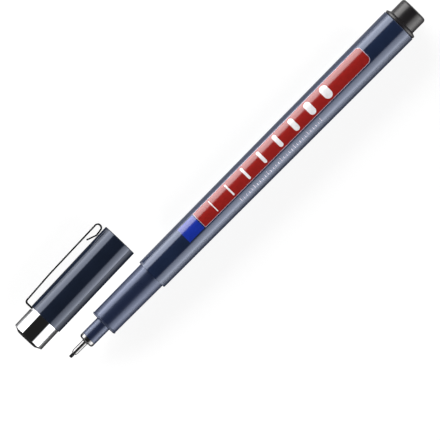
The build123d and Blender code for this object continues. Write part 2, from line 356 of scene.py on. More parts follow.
class Shader:
    """A node tree under construction, of a material, a node group, a light or the room."""

    def __init__(self, tree: bpy.types.NodeTree) -> None:
        """Start on an emptied tree."""
        self.tree = tree
        tree.nodes.clear()

    def fill(self, target: Socket, value: object) -> None:
        """Link an input to an output, or set it to a plain value."""
        if isinstance(value, Socket):
            self.tree.links.new(value, target)
        else:
            target.default_value = value

    def node(self, kind: str, **settings: object) -> bpy.types.Node:
        """Add a node.

        Args:
            kind: The node's type, without its ShaderNode prefix.
            settings: Properties of the node, and values or links of its inputs by their names
                with spaces as underscores.

        Returns:
            The new node.
        """
        made = self.tree.nodes.new(kind if kind.startswith("Node") else f"ShaderNode{kind}")
        for key, value in settings.items():
            if hasattr(made, key):
                setattr(made, key, value)
            else:
                self.fill(made.inputs[key.replace("_", " ")], value)
        return made

    def math(self, operation: str, first: object, second: object = 0.0) -> Socket:
        """Add a calculation on two sockets or numbers and return its result."""
        made = self.node("Math", operation=operation)
        for socket, value in zip(made.inputs, (first, second), strict=False):
            self.fill(socket, value)
        return made.outputs[0]

    def spread(
        self, value: Socket, low: object, high: object, start: float = 0.0, end: float = 1.0
    ) -> Socket:
        """Map a value from start and end to low and high, which may be sockets or numbers."""
        made = self.node("MapRange", Value=value, From_Min=start, From_Max=end, To_Min=low, To_Max=high)
        return made.outputs["Result"]

    def blend(self, mask: Socket, dark: Colour, light: Colour) -> Socket:
        """Mix two colours by a mask and return the mixed colour."""
        made = self.node("Mix", data_type="RGBA", Factor=mask)
        colours = [socket for socket in made.inputs if socket.type == "RGBA"]
        for socket, colour in zip(colours, (dark, light), strict=True):
            socket.default_value = (*colour, 1.0)
        return next(socket for socket in made.outputs if socket.type == "RGBA")

    def mottled(self, mask: Socket, colour: Colour, shades: Point) -> Socket:
        """Return a colour that runs between two shades of itself by a mask."""
        return self.blend(mask, *(shaded(colour, shade) for shade in shades))

    def seen_or_mirrored(self) -> Socket:
        """Return a mask that is 1 to the camera, in gloss and through glass."""
        path = self.node("LightPath").outputs
        mirrored = self.math("MAXIMUM", path["Is Glossy Ray"], path["Is Transmission Ray"])
        return self.math("MAXIMUM", path["Is Camera Ray"], mirrored)


class Coat(Shader):
    """A material under construction, with a Principled surface on the object's own coordinates."""

    def __init__(self, name: str) -> None:
        """Start a material with a surface and an output."""
        self.material = bpy.data.materials.new(name)
        self.material.use_nodes = True
        super().__init__(self.material.node_tree)
        self.surface = self.node("BsdfPrincipled")
        self.node("OutputMaterial", Surface=self.surface.outputs["BSDF"])
        self.place = self.node("TexCoord").outputs["Object"]

    def feed(self, **inputs: object) -> None:
        """Set or link the surface's inputs, by their names with spaces as underscores."""
        for key, value in inputs.items():
            self.fill(self.surface.inputs[key.replace("_", " ")], value)

    def group(self, tree: bpy.types.NodeTree, **values: float) -> bpy.types.bpy_prop_collection:
        """Place a node group with its own values and return its outputs."""
        return self.node("Group", node_tree=tree, Place=self.place, **values).outputs

    def relief(self, height: Socket, depth: float) -> None:
        """Feed a height to the surface's normal, at a depth in metres."""
        bump = self.node("Bump", Strength=1.0, Distance=depth, Height=height)
        self.feed(Normal=bump.outputs["Normal"])


def start_group(name: str, values: dict[str, float], results: Sequence[str]) -> tuple[Shader, dict, dict]:
    """Make an empty node group that reads a place and some values.

    Args:
        name: The group's name.
        values: The group's number inputs and their defaults.
        results: The group's number outputs.

    Returns:
        The shader to build in, the group's input sockets by name and its output sockets by name.
    """
    tree = bpy.data.node_groups.new(name, "ShaderNodeTree")
    tree.interface.new_socket("Place", in_out="INPUT", socket_type="NodeSocketVector")
    for key, default in values.items():
        socket = tree.interface.new_socket(key, in_out="INPUT", socket_type="NodeSocketFloat")
        socket.default_value = default
    for key in results:
        tree.interface.new_socket(key, in_out="OUTPUT", socket_type="NodeSocketFloat")
    shader = Shader(tree)
    given = shader.node("NodeGroupInput")
    made = shader.node("NodeGroupOutput")
    return shader, dict(given.outputs.items()), dict(made.inputs.items())


@cache
def moulded_skin() -> bpy.types.NodeTree:
    """Return the group for moulded plastic: slow flow shades, uneven gloss and a faint ripple."""
    values = {"Flow": 180.0, "Grain": 9000.0, "Gloss Low": 0.1, "Gloss High": 0.2}
    shader, given, made = start_group("moulded_skin", values, ("Shade", "Roughness", "Height"))
    place, low, high = given["Place"], given["Gloss Low"], given["Gloss High"]
    flow = shader.node("TexNoise", Vector=place, Scale=given["Flow"], Detail=3.0, Roughness=0.55)
    grain = shader.node("TexNoise", Vector=place, Scale=given["Grain"], Detail=2.0, Roughness=0.6)
    slow, fine = flow.outputs["Fac"], grain.outputs["Fac"]
    uneven = shader.math(
        "ADD",
        shader.math("MULTIPLY", slow, SLOW_SHARE),
        shader.math("MULTIPLY", fine, 1 - SLOW_SHARE),
    )
    shader.fill(made["Shade"], shader.spread(slow, 0.0, 1.0, *NOISE_SPAN))
    shader.fill(made["Roughness"], shader.spread(uneven, low, high, *NOISE_SPAN))
    shader.fill(made["Height"], shader.math("ADD", slow, shader.math("MULTIPLY", fine, GRAIN_HEIGHT)))
    return shader.tree


@cache
def handling_marks() -> bpy.types.NodeTree:
    """Return the group for fine lengthwise hairlines that handling leaves on a gloss surface."""
    values = {"Along": 90.0, "Across": 5200.0, "Amount": 0.06}
    shader, given, made = start_group("handling_marks", values, ("Mask",))
    across = given["Across"]
    stretch = shader.node("CombineXYZ", X=given["Along"], Y=across, Z=across)
    stretched = shader.node("VectorMath", operation="MULTIPLY")
    shader.fill(stretched.inputs[0], given["Place"])
    shader.fill(stretched.inputs[1], stretch.outputs[0])
    streaks = shader.node("TexNoise", Vector=stretched.outputs[0], Scale=1.0, Detail=1.0)
    hairlines = shader.spread(streaks.outputs["Fac"], 0.0, 1.0, *HAIRLINE_SPAN)
    shader.fill(made["Mask"], shader.math("MULTIPLY", hairlines, given["Amount"]))
    return shader.tree


@cache
def turning_lines() -> bpy.types.NodeTree:
    """Return the group for the fine rings that turning and polishing leave on metal."""
    values = {"Lines": 9000.0, "Gloss Low": 0.04, "Gloss High": 0.09}
    shader, given, made = start_group("turning_lines", values, ("Roughness", "Height"))
    place, low, high = given["Place"], given["Gloss Low"], given["Gloss High"]
    wave = {"bands_direction": "X", "Distortion": 1.5, "Detail": 2.0, "Detail_Scale": 0.3}
    lines = shader.node("TexWave", Vector=place, Scale=given["Lines"], **wave)
    haze = shader.node("TexNoise", Vector=place, Scale=420.0, Detail=4.0)
    shader.fill(made["Roughness"], shader.spread(haze.outputs["Fac"], low, high, *NOISE_SPAN))
    shader.fill(made["Height"], lines.outputs["Fac"])
    return shader.tree


@dataclass(frozen=True)
class PlasticFinish:
    """A moulded plastic or a printed ink.

    Attributes:
        name: The material's name.
        colour: Its mean colour.
        gloss: Its lowest and highest roughness.
        specular: Its specular level, where a half is plain plastic.
        tint: Colour of its gloss.
        shades: Its darkest and lightest shade, as shares of its colour.
        flow: How fine its slow shades are.
        grain: How fine its grain is.
        ripple: Depth of its faint ripple.
        marks: How strongly hairlines from handling show, from 0 to 1.
    """

    name: str
    colour: Colour
    gloss: Point
    specular: float = 0.5
    tint: Colour = (1.0, 1.0, 1.0)
    shades: Point = (0.9, 1.1)
    flow: float = 180.0
    grain: float = 9000.0
    ripple: float = 0.0012 * MM
    marks: float = 0.05

    def material(self) -> bpy.types.Material:
        """Build the plastic's material."""
        coat = Coat(self.name)
        low, high = self.gloss
        texture = {"Flow": self.flow, "Grain": self.grain, "Gloss_Low": low, "Gloss_High": high}
        skin = coat.group(moulded_skin(), **texture)
        marks = coat.group(handling_marks(), Amount=self.marks)
        coat.feed(
            Base_Color=coat.mottled(skin["Shade"], self.colour, self.shades),
            Roughness=coat.math("ADD", skin["Roughness"], marks["Mask"]),
            Specular_IOR_Level=self.specular,
            Specular_Tint=(*self.tint, 1.0),
            IOR=PLASTIC_INDEX,
        )
        coat.relief(skin["Height"], self.ripple)
        return coat.material


@dataclass(frozen=True)
class MetalFinish:
    """A polished metal.

    Attributes:
        name: The material's name.
        colour: Its reflected colour.
        gloss: Its lowest and highest roughness.
        edge_tint: Its reflected colour at a grazing angle.
        lines: How many turning lines it has in a metre.
        line_depth: How deep the lines are.
        shades: Its shade in the lines and between them, as shares of its colour.
        marks: How strongly hairlines from handling show, from 0 to 1.
    """

    name: str
    colour: Colour
    gloss: Point
    edge_tint: Colour = (0.45, 0.45, 0.46)
    lines: float = 9000.0
    line_depth: float = 0.00004 * MM
    shades: Point = (0.96, 1.02)
    marks: float = 0.03

    def material(self) -> bpy.types.Material:
        """Build the metal's material."""
        coat = Coat(self.name)
        low, high = self.gloss
        turned = coat.group(turning_lines(), Lines=self.lines, Gloss_Low=low, Gloss_High=high)
        marks = coat.group(handling_marks(), Amount=self.marks)
        coat.feed(
            Base_Color=coat.mottled(turned["Height"], self.colour, self.shades),
            Roughness=coat.math("ADD", turned["Roughness"], marks["Mask"]),
            Metallic=1.0,
            Specular_Tint=(*self.edge_tint, 1.0),
        )
        coat.relief(turned["Height"], self.line_depth)
        return coat.material


@dataclass(frozen=True)
class FibreFinish:
    """Bundled fibres that run along the pen.

    Attributes:
        name: The material's name.
        dark: Colour between the fibres.
        light: Colour of the fibres.
        strand: Width of a fibre.
        edge: Where a fibre's edge starts and ends, in strands from its middle.
        stretch: How much finer the pattern is across the pen than along it, as a share.
        specular: Its specular level.
        roughness: Its roughness between the fibres and on them.
    """

    name: str
    dark: Colour
    light: Colour
    strand: float = 0.03 * MM
    edge: Point = (0.1, 0.7)
    stretch: float = 0.04
    specular: float = 0.15
    roughness: Point = (0.75, 0.5)

    def material(self) -> bpy.types.Material:
        """Build the fibres' material."""
        coat = Coat(self.name)
        drawn = coat.node("Mapping", Vector=coat.place, Scale=(self.stretch, 1.0, 1.0))
        strands = coat.node("TexVoronoi", Vector=drawn.outputs["Vector"], Scale=1.0 / self.strand)
        fibres = coat.spread(strands.outputs["Distance"], 1.0, 0.0, *self.edge)
        coat.feed(
            Base_Color=coat.blend(fibres, self.dark, self.light),
            Roughness=coat.spread(fibres, *self.roughness),
            Specular_IOR_Level=self.specular,
        )
        coat.relief(fibres, self.strand / 4)
        return coat.material


def ink(name: str, colour: Colour) -> PlasticFinish:
    """Return a gloss ink for the barrel, with the faint mottle of a pad print."""
    mottle = {"shades": (0.93, 1.07), "flow": 900.0, "grain": 16000.0, "ripple": 0.0006 * MM}
    return PlasticFinish(name, colour, (0.13, 0.19), specular=0.6, marks=0.0, **mottle)


Finish = PlasticFinish | MetalFinish | FibreFinish

COOL_GLOSS = (0.74, 0.81, 1.0)
BLUE_GLOSS = (0.68, 0.76, 1.0)
GREY_GLOSS = (0.95, 0.94, 0.93)
BARREL_NAVY = PlasticFinish(
    "barrel_navy", srgb(28, 39, 64), (0.1, 0.15), specular=0.76, tint=COOL_GLOSS
)
SECTION_NAVY = PlasticFinish(
    "section_navy", srgb(29, 38, 63), (0.25, 0.32), specular=0.76, tint=BLUE_GLOSS
)
CAP_NAVY = PlasticFinish(
    "cap_navy", srgb(24, 31, 46), (0.08, 0.12), specular=0.52, tint=COOL_GLOSS
)
PLUG_BLACK = PlasticFinish(
    "plug_black", srgb(31, 29, 31), (0.26, 0.34), specular=0.46, tint=GREY_GLOSS
)
END_BLACK = PlasticFinish("end_black", srgb(20, 19, 22), (0.14, 0.2), specular=0.4)
LINER_WHITE = PlasticFinish("liner_white", srgb(214, 214, 210), (0.4, 0.5), marks=0.02)
FILM_WHITE = PlasticFinish("film_white", srgb(226, 228, 230), (0.18, 0.26), marks=0.02)
RING_CHROME = MetalFinish("ring_chrome", (0.56, 0.565, 0.575), (0.03, 0.06))
CLIP_CHROME = MetalFinish("sprung_chrome", (0.44, 0.445, 0.455), (0.05, 0.1), lines=4000.0)
NIB_STEEL = MetalFinish("needle_steel", (0.215, 0.213, 0.212), (0.2, 0.28), (0.85, 0.85, 0.86))
TIP_FIBRE = FibreFinish("inked_fibre", srgb(8, 8, 11), srgb(26, 26, 31))
CORE_FIBRE = FibreFinish("core_fibre", srgb(10, 10, 14), srgb(40, 40, 52), strand=0.08 * MM)
PRINT_RED = ink("print_red", srgb(150, 32, 28))
PRINT_BLUE = ink("print_blue", srgb(26, 50, 158))
PRINT_WHITE = ink("print_white", srgb(238, 236, 238))
PRINT_PALE = ink("print_pale", srgb(190, 178, 196))

DRESSED: dict[str, list[Piece]] = {body: [] for body in ("pen", "cap", "clip")}


@cache
def material_of(finish: Finish) -> bpy.types.Material:
    """Return a finish's material, which is built once."""
    return finish.material()


def dress(
    piece: Piece, axis: LongAxis, finish: Finish, body: str, replaced: str = ""
) -> None:
    """Set a piece in place, give it its finish and its body, and hide the CAD node that it stands for, if
    any.

    Args:
        piece: The finished piece, in its local frame.
        axis: The axis that it is set on.
        finish: The finish of its surface.
        body: The body that it rides on.
        replaced: The CAD node that it stands for, if any.
    """
    set_in_place(piece, axis)
    piece.data.materials.clear()
    piece.data.materials.append(material_of(finish))
    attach(piece, body)
    DRESSED[body].append(piece)
    if replaced:
        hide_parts(replaced)
    LOG.info("%s rides on %s, %d faces", piece.name, body, len(piece.data.polygons))


@dataclass
class WritingEnd:
    """The fibre tip, the steel needle on its shoulder and the slim nose that holds them."""

    axis: LongAxis
    tip_radius: float = 0.45 * MM
    tip_rounding: float = 0.28 * MM
    tip_steps: int = 7
    feed_radius: float = 0.8 * MM
    feed_end: float = 53.95 * MM
    needle_start: float = 1.35 * MM
    needle_mouth_radius: float = 0.6 * MM
    needle_cone_end: float = 2.0 * MM
    needle_cone_rounding: float = 0.2 * MM
    needle_radius: float = 0.85 * MM
    needle_root_rounding: float = 0.3 * MM
    shoulder_rounding: float = 0.7 * MM
    steel_edge: float = 0.06 * MM
    shank_radius: float = 1.7 * MM
    shank_end: float = 11.1 * MM
    nose_edge: float = 0.1 * MM
    holder_end: float = 28.25 * MM
    holder_lead_in: float = 0.8 * MM

    def build(self) -> None:
        """Turn, place and dress the three pieces."""
        tip = turn("writing_tip", self.tip(), Ends.PLUG)
        ferrule = turn("needle_ferrule", self.ferrule(), Ends.SLEEVE)
        holder = turn("holder_nose", self.holder(), Ends.SLEEVE)
        dress(tip, self.axis, TIP_FIBRE, "pen", "fibre_tip")
        dress(ferrule, self.axis, NIB_STEEL, "pen", "nib_ferrule")
        dress(holder, self.axis, SECTION_NAVY, "pen", "nib_holder")

    def tip(self) -> list[Ring]:
        """Return the profile of the writing point and the feed rod behind it."""
        return [
            Ring(0.0, self.tip_radius, self.tip_rounding, self.tip_steps),
            Ring(PEN.needle_root, self.tip_radius),
            Ring(PEN.feed_start, self.feed_radius),
            Ring(self.feed_end, self.feed_radius),
        ]

    def ferrule(self) -> list[Ring]:
        """Return the profile of the needle, its shoulder and its shank."""
        tip_bore, feed_bore = self.tip_radius + PRESS_GAP, self.feed_radius + PRESS_GAP
        return [
            Ring(self.needle_start, tip_bore),
            Ring(self.needle_start, self.needle_mouth_radius, self.steel_edge),
            Ring(self.needle_cone_end, self.needle_radius, self.needle_cone_rounding),
            Ring(PEN.needle_root, self.needle_radius, self.needle_root_rounding),
            Ring(PEN.needle_root, PEN.nose_radius, self.shoulder_rounding, WIDE_STEPS),
            Ring(PEN.nose_start, PEN.nose_radius, self.steel_edge),
            Ring(PEN.nose_start, self.shank_radius),
            Ring(self.shank_end, self.shank_radius),
            Ring(self.shank_end, feed_bore),
            Ring(PEN.feed_start, feed_bore),
            Ring(PEN.needle_root, tip_bore),
        ]

    def holder(self) -> list[Ring]:
        """Return the profile of the nose and the wider body inside the section."""
        feed_bore = self.feed_radius + PRESS_GAP
        seat_radius, seat_end = self.shank_radius + PRESS_GAP, self.shank_end + PRESS_GAP
        return [
            Ring(PEN.nose_start, seat_radius),
            Ring(PEN.nose_start, PEN.nose_radius, self.nose_edge),
            Ring(PEN.holder_step, PEN.nose_radius),
            Ring(PEN.holder_step, PEN.holder_radius),
            Ring(self.holder_end, PEN.holder_radius),
            Ring(self.holder_end, feed_bore + self.holder_lead_in),
            Ring(self.holder_end - self.holder_lead_in, feed_bore),
            Ring(seat_end, feed_bore),
            Ring(seat_end, seat_radius),
        ]


@dataclass
class GripSection:
    """The gripped sleeve, with a snap lip at its front and a spigot inside the barrel."""

    axis: LongAxis
    lip_front_radius: float = 3.8 * MM
    lip_radius: float = 4.1 * MM
    lip_rise_end: float = 12.95 * MM
    lip_end: float = 13.1 * MM
    groove_station: float = 13.28 * MM
    groove_radius: float = 3.89 * MM
    grip_start: float = 13.6 * MM
    grip_front_radius: float = 3.95 * MM
    grip_rear_radius: float = 4.1 * MM
    spigot_radius: float = 3.82 * MM
    spigot_chamfer: float = 0.3 * MM
    edge: float = 0.03 * MM

    def build(self) -> None:
        """Turn, place and dress the sleeve."""
        sleeve = turn("grip_section", self.sleeve(), Ends.SLEEVE)
        dress(sleeve, self.axis, SECTION_NAVY, "pen", "section")

    def sleeve(self) -> list[Ring]:
        """Return the sleeve's profile."""
        nose_bore, body_bore = PEN.nose_radius + PRESS_GAP, PEN.holder_radius + PRESS_GAP
        return [
            Ring(PEN.section_start, nose_bore),
            Ring(PEN.section_start, self.lip_front_radius, self.edge),
            Ring(self.lip_rise_end, self.lip_radius, self.edge),
            Ring(self.lip_end, self.lip_radius, self.edge),
            Ring(self.groove_station, self.groove_radius, self.edge),
            Ring(self.grip_start, self.grip_front_radius, self.edge),
            Ring(PEN.barrel_start, self.grip_rear_radius),
            Ring(PEN.barrel_start, self.spigot_radius),
            Ring(PEN.spigot_end, self.spigot_radius, self.spigot_chamfer, CHAMFER_STEPS),
            Ring(PEN.spigot_end, body_bore),
            Ring(PEN.holder_step, body_bore),
            Ring(PEN.holder_step, nose_bore),
        ]


@dataclass(frozen=True)
class Patch:
    """A print on the barrel.

    Attributes:
        start: Station of its front end.
        end: Station of its rear end.
        low: Its edge on the far side from the cap, as an angle from straight up.
        high: Its edge on the cap's side.
        lift: How far its skin stands off the barrel.
        front_corner: Radius of its two front corners.
        rear_corner: Radius of its two rear corners.
    """

    start: float
    end: float
    low: float
    high: float
    lift: float
    front_corner: float = 0.0
    rear_corner: float = 0.0

    def grown(self, margin: float, radius: float, lift: float) -> "Patch":
        """Return a patch that is larger on all sides by a margin, at a barrel radius and a lift."""
        turn_by = margin / radius
        return Patch(
            self.start - margin,
            self.end + margin,
            self.low - turn_by,
            self.high + turn_by,
            lift,
            self.front_corner + margin if self.front_corner else 0.0,
            self.rear_corner + margin if self.rear_corner else 0.0,
        )


@dataclass
class Barrel:
    """The tapered tube with its inner ribs, and the plain prints on it."""

    axis: LongAxis
    front_radius: float = 4.7 * MM
    rear_radius: float = 5.2 * MM
    wall: float = 0.85 * MM
    front_edge: float = 0.22 * MM
    front_edge_drop: float = 0.12 * MM
    rear_edge: float = 0.15 * MM
    rib_count: int = 6
    rib_width: float = 0.7 * MM
    rib_inner_radius: float = 3.68 * MM
    rib_root_radius: float = 4.55 * MM
    rib_edge: float = 0.05 * MM
    print_columns: int = 48
    print_rows: int = 24
    corner_share: float = 0.25
    ink_depth: float = 0.02 * MM
    label_low: float = math.radians(-14.5)
    label_high: float = math.radians(47)
    label_lift: float = 0.012 * MM
    field_start: float = 50.2 * MM
    field_end: float = 112.8 * MM
    field_corner: float = 1.3 * MM
    keyline: float = 0.13 * MM
    keyline_lift: float = 0.006 * MM
    block_start: float = 44.3 * MM
    block_end: float = 49.8 * MM
    stroke_start: float = 55.5 * MM
    stroke_pitch: float = 6.1 * MM
    stroke_widths_mm: tuple[float, ...] = (0.3, 0.5, 0.75, 1.0, 1.3, 1.65, 2.05, 2.5)
    stroke_low: float = math.radians(-8)
    stroke_high: float = math.radians(40)
    stroke_lift: float = 0.018 * MM
    tick_start: float = 62.0 * MM
    tick_pitch: float = 1.0 * MM
    tick_count: int = 31
    tick_width: float = 0.16 * MM
    tick_low: float = math.radians(-43)
    tick_short: float = math.radians(9)
    tick_long: float = math.radians(15)
    tick_lift: float = 0.01 * MM
    ticks_to_a_long_one: int = 5

    def radius_at(self, station: float) -> float:
        """Return the barrel's outer radius at a station."""
        share = (station - PEN.barrel_start) / (PEN.barrel_end - PEN.barrel_start)
        return self.front_radius + share * (self.rear_radius - self.front_radius)

    def build(self) -> None:
        """Build and dress the tube and its prints."""
        self.build_tube()
        across = (self.label_low, self.label_high, self.label_lift)
        red = Patch(self.field_start, self.field_end, *across, rear_corner=self.field_corner)
        blue = Patch(self.block_start, self.block_end, *across)
        outline = red.grown(self.keyline, self.radius_at(self.field_start), self.keyline_lift)
        self.build_print("label_keyline", [outline], PRINT_PALE)
        self.build_print("label_field", [red], PRINT_RED)
        self.build_print("label_block", [blue], PRINT_BLUE)
        self.build_print("label_strokes", self.strokes(), PRINT_WHITE)
        self.build_print("side_ticks", self.ticks(), PRINT_PALE)

    def build_tube(self) -> None:
        """Turn the tube, set its ribs in it and dress it."""
        profile = [
            Ring(PEN.barrel_start, self.front_radius - self.wall),
            Ring(PEN.barrel_start, self.front_radius - self.front_edge_drop),
            Ring(PEN.barrel_start + self.front_edge, self.front_radius),
            Ring(PEN.barrel_end, self.rear_radius, self.rear_edge, CHAMFER_STEPS),
            Ring(PEN.barrel_end, self.rear_radius - self.wall),
        ]
        tube = turn("barrel_tube", profile, Ends.SLEEVE)
        ribs = [self.rib(index) for index in range(self.rib_count)]
        tube = join([tube, *ribs], "barrel_tube")
        dress(tube, self.axis, BARREL_NAVY, "pen", "barrel")

    def rib(self, index: int) -> Piece:
        """Make one inner rib, with eased edges, at its turn round the axis."""
        rib = start_piece(f"rib_{index}", bpy.ops.mesh.primitive_cube_add, size=1)
        root, inner = self.rib_root_radius, self.rib_inner_radius
        start, end = PEN.spigot_end, PEN.plug_start
        bpy.ops.transform.resize(value=(self.rib_width, root - inner, end - start))
        bpy.ops.transform.translate(value=(0, (root + inner) / 2, (start + end) / 2))
        bpy.ops.mesh.bevel(offset=self.rib_edge, segments=2, affect="EDGES")
        bpy.ops.object.mode_set(mode="OBJECT")
        rib.rotation_euler.z = 2 * math.pi * index / self.rib_count
        bpy.ops.object.transform_apply(rotation=True)
        return rib

    def strokes(self) -> list[Patch]:
        """Return the row of round-ended strokes on the label, from the thinnest to the thickest."""
        across = (self.stroke_low, self.stroke_high, self.stroke_lift)
        made = []
        for index, width in enumerate(self.stroke_widths_mm):
            middle, half = self.stroke_start + index * self.stroke_pitch, width * MM / 2
            made.append(Patch(middle - half, middle + half, *across, half, half))
        return made

    def ticks(self) -> list[Patch]:
        """Return the fine row of ticks along the barrel's side."""
        made = []
        for index in range(self.tick_count):
            long_one = index % self.ticks_to_a_long_one == 0
            high = self.tick_low + (self.tick_long if long_one else self.tick_short)
            middle, half = self.tick_start + index * self.tick_pitch, self.tick_width / 2
            made.append(Patch(middle - half, middle + half, self.tick_low, high, self.tick_lift))
        return made

    def build_print(self, name: str, patches: list[Patch], finish: Finish) -> None:
        """Build a print from its patches and dress it.

        Args:
            name: The print's name.
            patches: Its patches.
            finish: Its ink.
        """
        printed = join([self.wrap(f"{name}_{i}", patch) for i, patch in enumerate(patches)], name)
        dress(printed, self.axis, finish, "pen")

    def wrap(self, name: str, patch: Patch) -> Piece:
        """Wrap a flat grid round the barrel as one patch of ink.

        Args:
            name: The patch's name.
            patch: Where it lies.

        Returns:
            The patch, with the ink's thickness, in the barrel's local frame.
        """
        grid = {"x_subdivisions": self.print_columns, "y_subdivisions": self.print_rows, "size": 1}
        piece = start_piece(name, bpy.ops.mesh.primitive_grid_add, **grid)
        mesh = bmesh.from_edit_mesh(piece.data)
        middle, half = (patch.low + patch.high) / 2, (patch.high - patch.low) / 2
        for vertex in mesh.verts:
            along, across = vertex.co.x + 0.5, 2 * vertex.co.y
            station, inset = self.column(patch, along)
            radius = self.radius_at(station)
            angle = middle + across * (half - inset / radius)
            reach = radius + patch.lift
            vertex.co = (reach * math.sin(angle), reach * math.cos(angle), station)
        bpy.ops.mesh.normals_make_consistent(inside=False)
        if sum(face.normal.dot(face.calc_center_median().xy.to_3d()) for face in mesh.faces) < 0:
            bpy.ops.mesh.flip_normals()
        bmesh.update_edit_mesh(piece.data)
        bpy.ops.object.mode_set(mode="OBJECT")
        ink = piece.modifiers.new("ink", "SOLIDIFY")
        ink.thickness = self.ink_depth
        ink.offset = -1.0
        apply_modifiers(piece)
        return piece

    def column(self, patch: Patch, along: float) -> Point:
        """Find where a column of a patch lies, and how far round corners draw its ends in.

        Args:
            patch: The patch.
            along: The column's share of the way from the patch's front to its rear.

        Returns:
            The column's station and its inset.
        """
        front, rear = patch.front_corner, patch.rear_corner
        if along < self.corner_share and front:
            swing = math.pi / 2 * along / self.corner_share
            return patch.start + front * (1 - math.cos(swing)), front * (1 - math.sin(swing))
        if along > 1 - self.corner_share and rear:
            swing = math.pi / 2 * (1 - along) / self.corner_share
            return patch.end - rear * (1 - math.cos(swing)), rear * (1 - math.sin(swing))
        low = self.corner_share if front else 0.0
        high = 1 - self.corner_share if rear else 1.0
        straight = patch.end - patch.start - front - rear
        return patch.start + front + straight * (along - low) / (high - low), 0.0


@dataclass
class RearPlug:
    """The black plug with its bevelled flange and the stud that the cap posts on."""

    axis: LongAxis
    plug_radius: float = 4.2826 * MM
    wall: float = 1.0 * MM
    end_wall: float = 1.3 * MM
    seam_gap: float = 0.06 * MM
    seam_chamfer: float = 0.15 * MM
    flange_radius: float = 5.1 * MM
    flange_bevel_start: float = 125.3 * MM
    stud_start: float = 125.75 * MM
    stud_end: float = 130.6 * MM
    stud_radius: float = 4.1 * MM
    stud_rounding: float = 0.8 * MM
    edge: float = 0.1 * MM

    def build(self) -> None:
        """Turn, place and dress the plug."""
        plug = turn("rear_stud", self.profile(), Ends.PLUG)
        dress(plug, self.axis, PLUG_BLACK, "pen", "rear_plug")

    def profile(self) -> list[Ring]:
        """Return the profile from the stud's end, over the flange and into the plug's bore."""
        flange_start = PEN.barrel_end + self.seam_gap
        bore = self.plug_radius - self.wall
        return [
            Ring(self.stud_end, self.stud_radius, self.stud_rounding, WIDE_STEPS),
            Ring(self.stud_start, self.stud_radius, self.edge),
            Ring(self.flange_bevel_start, self.flange_radius, self.edge),
            Ring(flange_start, self.flange_radius, self.seam_chamfer, CHAMFER_STEPS),
            Ring(flange_start, self.plug_radius),
            Ring(PEN.plug_start, self.plug_radius),
            Ring(PEN.plug_start, bore),
            Ring(self.stud_end - self.end_wall, bore),
        ]


@dataclass
class Cap:
    """The cap's tube with the soft cup inside it."""

    axis: LongAxis
    front_radius: float = 5.075 * MM
    mouth_radius: float = 5.175 * MM
    edge: float = 0.15 * MM
    bore_radius: float = 4.15 * MM
    bore_end: float = 18.2 * MM
    mouth_chamfer: float = 0.25 * MM
    cup_start: float = 4.45 * MM
    cup_step: float = 9.45 * MM
    cup_end: float = 18.0 * MM
    cup_nose_radius: float = 2.4 * MM
    cup_nose_bore: float = 1.7 * MM
    cup_radius: float = 3.62 * MM
    cup_bore: float = 3.12 * MM
    cup_floor: float = 0.8 * MM
    cup_chamfer: float = 0.3 * MM
    groove_start: float = 4.33 * MM
    groove_floor: float = 3.0243 * MM

    def build(self) -> None:
        """Turn the tube and the cup, cut the clip's groove, and place and dress both."""
        tube = turn("cap_shell", self.tube(), Ends.PLUG)
        half, top = CAP.slot_half_width, CAP.spigot_radius + CAP.slot_overshoot
        low = Vector((self.groove_floor, -half, self.groove_start))
        cut_slot(tube, low, Vector((top, half, CAP.tube_start)))
        cup = turn("cap_cup", self.cup(), Ends.PLUG)
        dress(tube, self.axis, CAP_NAVY, "cap", "cap_tube")
        dress(cup, self.axis, LINER_WHITE, "cap", "cap_liner")

    def tube(self) -> list[Ring]:
        """Return the profile from the stem's hole, over the spigot and the tube, into the bore."""
        stem_bore = CAP.stem_radius + PRESS_GAP
        seat_radius, nose_seat = self.cup_radius + PRESS_GAP, self.cup_nose_radius + PRESS_GAP
        return [
            Ring(CAP.stem_end + PRESS_GAP, stem_bore),
            Ring(CAP.spigot_start, stem_bore),
            Ring(CAP.spigot_start, CAP.spigot_radius),
            Ring(CAP.tube_start, CAP.spigot_radius),
            Ring(CAP.tube_start, self.front_radius, self.edge),
            Ring(CAP.length, self.mouth_radius, self.edge),
            Ring(CAP.length, self.bore_radius, self.mouth_chamfer, CHAMFER_STEPS),
            Ring(self.bore_end, self.bore_radius),
            Ring(self.bore_end, seat_radius),
            Ring(self.cup_step, seat_radius),
            Ring(self.cup_step, nose_seat),
            Ring(self.cup_start, nose_seat),
        ]

    def cup(self) -> list[Ring]:
        """Return the profile of the cup, outside and inside."""
        return [
            Ring(self.cup_start, self.cup_nose_radius),
            Ring(self.cup_step, self.cup_nose_radius),
            Ring(self.cup_step, self.cup_radius),
            Ring(self.cup_end, self.cup_radius),
            Ring(self.cup_end, self.cup_bore + self.cup_chamfer),
            Ring(self.cup_end - self.cup_chamfer, self.cup_bore),
            Ring(self.cup_step + self.cup_floor, self.cup_bore),
            Ring(self.cup_step + self.cup_floor, self.cup_nose_bore),
            Ring(self.cup_start + self.cup_floor, self.cup_nose_bore),
        ]


